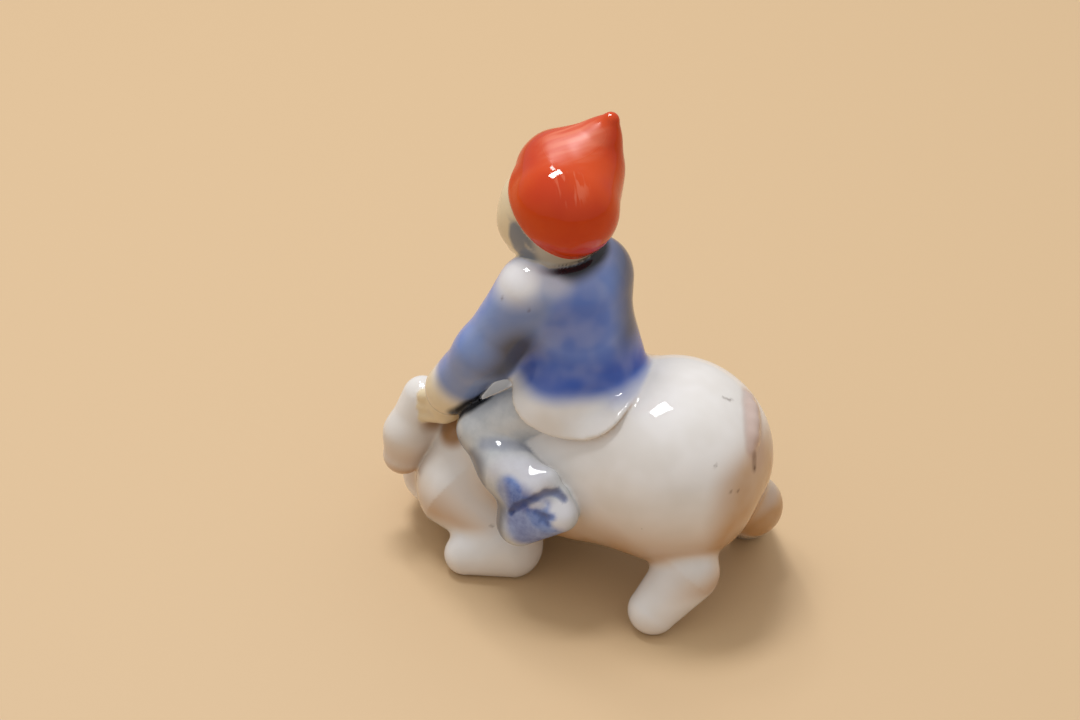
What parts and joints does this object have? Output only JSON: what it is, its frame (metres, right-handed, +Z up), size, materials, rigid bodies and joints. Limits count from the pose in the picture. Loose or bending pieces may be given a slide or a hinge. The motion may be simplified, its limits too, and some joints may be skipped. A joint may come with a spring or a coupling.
{
  "type": "elf figurine riding a pig",
  "caption": "Small glazed porcelain figure of an elf in a peaked red cap and a blue coat, riding a pig and holding it by the ears",
  "frame": {"origin": "Middle of the bounding box in X and Y, on the plane that the soles stand on", "axes": "+Z up. The pig faces -X, and its left side, which the picture shows, faces -Y"},
  "size_m": [0.0386, 0.0244, 0.0456],
  "materials": {
    "porcelain": "clear gloss glaze over painted decoration"
  },
  "bodies": {
    "root": {"elf_on_pig": "porcelain"}
  },
  "joints": []
}
